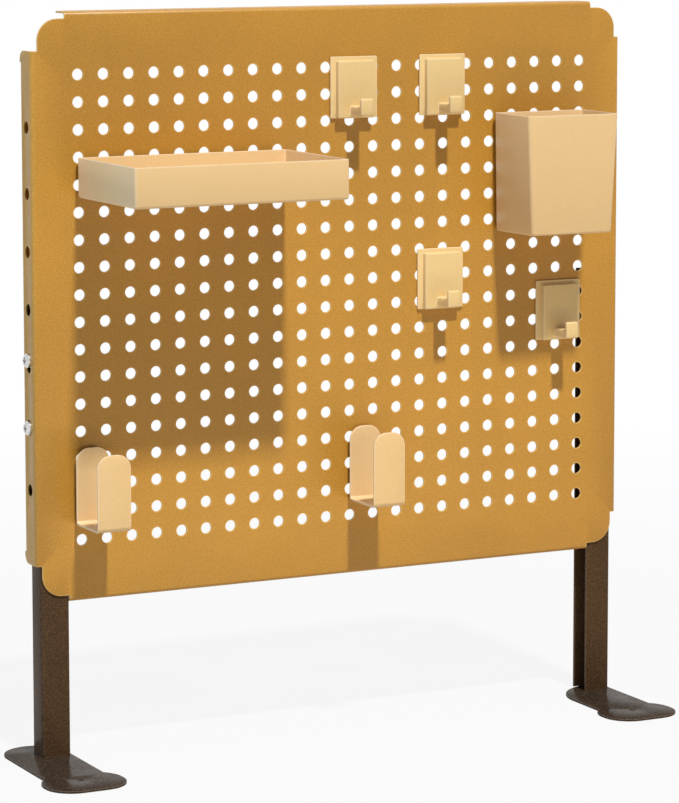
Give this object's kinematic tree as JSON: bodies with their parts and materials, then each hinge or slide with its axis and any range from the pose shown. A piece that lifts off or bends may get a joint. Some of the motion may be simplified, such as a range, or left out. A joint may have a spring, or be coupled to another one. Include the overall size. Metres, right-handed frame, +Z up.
{
  "type": "magnetic pegboard desk organizer",
  "caption": "Freestanding perforated metal board on two legs for a desk, with a sliding tray, pen cup, tablet holders and hooks held on its face by magnets",
  "frame": {"origin": "Middle of the floor area that the whole organizer covers, on the desk surface under the feet.", "axes": "+X along the panel to the right as seen from the front, the front faces -Y, +Z up from the desk."},
  "size_m": [0.602, 0.1694, 0.629],
  "materials": {
    "panel_paint": "ochre yellow powder coat, fine satin texture",
    "leg_paint": "dark bronze brown powder coat, semi-gloss",
    "zinc_steel": "bright zinc plate",
    "accessory_cream": "warm cream satin powder coat",
    "hook_cream": "warm cream satin coat",
    "magnet_black": "black rubber-coated magnet"
  },
  "bodies": {
    "root": {"pegboard_panel": "panel_paint", "leg_left": "leg_paint", "leg_right": "leg_paint", "foot_plate_left": "leg_paint", "foot_plate_right": "leg_paint", "side_screws_left": "zinc_steel", "side_screws_right": "zinc_steel", "spacer_washers_left": "zinc_steel", "spacer_washers_right": "zinc_steel", "weld_nuts_left": "zinc_steel", "weld_nuts_right": "zinc_steel"},
    "tray": {"tray_box": "accessory_cream", "tray_magnets": "magnet_black"},
    "pen_cup": {"pen_cup_box": "accessory_cream", "pen_cup_magnets": "magnet_black"},
    "holder_left": {"tablet_holder_left": "accessory_cream", "tablet_holder_left_magnet": "magnet_black"},
    "holder_right": {"tablet_holder_right": "accessory_cream", "tablet_holder_right_magnet": "magnet_black"},
    "hook_1": {"hook_1_base": "hook_cream", "hook_1_front": "hook_cream", "hook_1_magnet": "magnet_black"},
    "hook_2": {"hook_2_base": "hook_cream", "hook_2_front": "hook_cream", "hook_2_magnet": "magnet_black"},
    "hook_3": {"hook_3_base": "hook_cream", "hook_3_front": "hook_cream", "hook_3_magnet": "magnet_black"},
    "hook_4": {"hook_4_base": "hook_cream", "hook_4_front": "hook_cream", "hook_4_magnet": "magnet_black"}
  },
  "joints": [
    {"name": "tray_slide", "type": "slide", "parent": "root", "child": "tray", "axis": [1, 0, 0], "range_m": [-0.034, 0.18]},
    {"name": "pen_cup_slide", "type": "slide", "parent": "root", "child": "pen_cup", "axis": [1, 0, 0], "range_m": [-0.012, 0.034]},
    {"name": "holder_left_slide", "type": "slide", "parent": "root", "child": "holder_left", "axis": [1, 0, 0], "range_m": [-0.03, 0.112]},
    {"name": "holder_right_slide", "type": "slide", "parent": "root", "child": "holder_right", "axis": [1, 0, 0], "range_m": [-0.112, 0.239]},
    {"name": "hook_1_slide", "type": "slide", "parent": "root", "child": "hook_1", "axis": [1, 0, 0], "range_m": [-0.268, 0.02]},
    {"name": "hook_2_slide", "type": "slide", "parent": "root", "child": "hook_2", "axis": [1, 0, 0], "range_m": [-0.02, 0.012]},
    {"name": "hook_3_slide", "type": "slide", "parent": "root", "child": "hook_3", "axis": [1, 0, 0], "range_m": [-0.355, 0.036]},
    {"name": "hook_4_slide", "type": "slide", "parent": "root", "child": "hook_4", "axis": [1, 0, 0], "range_m": [-0.036, 0.035]}
  ]
}
